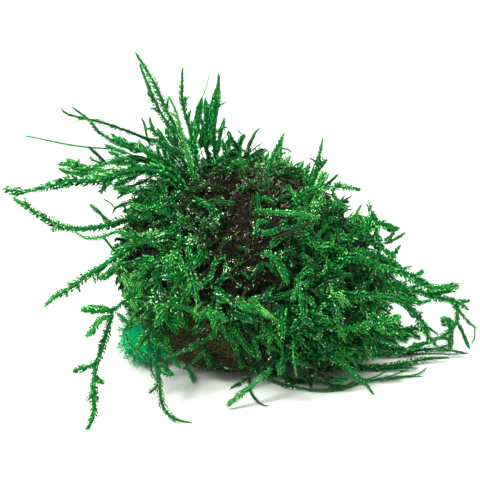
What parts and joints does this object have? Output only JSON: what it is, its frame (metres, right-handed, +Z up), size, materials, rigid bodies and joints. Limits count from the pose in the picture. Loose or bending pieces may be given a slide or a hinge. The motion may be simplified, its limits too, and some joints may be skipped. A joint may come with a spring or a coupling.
{
  "type": "aquarium moss ball",
  "caption": "Ball of brown plant fibre resting on a small flat spot, wrapped in a shaggy coat of water moss, with long feathery shoots reaching out on all sides and along the floor.",
  "frame": {"origin": "middle of the flat spot under the fibre ball, on the surface it stands on", "axes": "+X to the right of the front view, +Y away from the front, +Z up"},
  "size_m": [0.1164, 0.1001, 0.0804],
  "materials": {
    "moss": "satin",
    "core_fibre": "matte",
    "wadding": "satin"
  },
  "bodies": {
    "root": {"core": "core_fibre", "moss_mat": "moss", "shoot_back_floor_left": "moss", "shoot_back_floor_right": "moss", "shoot_back_high": "moss", "shoot_back_high_left": "moss", "shoot_back_left": "moss", "shoot_back_low_left": "moss", "shoot_back_low_right": "moss", "shoot_back_middle": "moss", "shoot_back_right": "moss", "shoot_floor_back_right": "moss", "shoot_floor_right_front": "moss", "shoot_floor_right_long": "moss", "shoot_floor_right_short": "moss", "shoot_floor_wire": "moss", "shoot_front_bright": "moss", "shoot_front_dark": "moss", "shoot_front_left": "moss", "shoot_front_root": "moss", "shoot_front_stub": "moss", "shoot_left_arc": "moss", "shoot_left_cluster": "moss", "shoot_left_hair": "moss", "shoot_left_high": "moss", "shoot_left_high_thin": "moss", "shoot_left_low_strand": "moss", "shoot_left_lower": "moss", "shoot_left_thick": "moss", "shoot_leg": "moss", "shoot_leg_branch_down": "moss", "shoot_leg_branch_low": "moss", "shoot_leg_branch_out": "moss", "shoot_leg_upper": "moss", "shoot_over_wadding": "moss", "shoot_right_broad": "moss", "shoot_right_droop": "moss", "shoot_right_droop_inner": "moss", "shoot_right_fork_down": "moss", "shoot_right_fork_out": "moss", "shoot_right_high": "moss", "shoot_right_long": "moss", "shoot_right_longest": "moss", "shoot_right_low": "moss", "shoot_right_middle": "moss", "shoot_top_frond": "moss", "shoot_top_hair": "moss", "shoot_top_left": "moss", "shoot_top_pale": "moss", "shoot_top_right": "moss", "shoot_top_right_broad": "moss", "shoot_top_second": "moss", "shoot_top_tall": "moss", "shoot_top_tall_fork": "moss", "wadding": "wadding"}
  },
  "joints": []
}
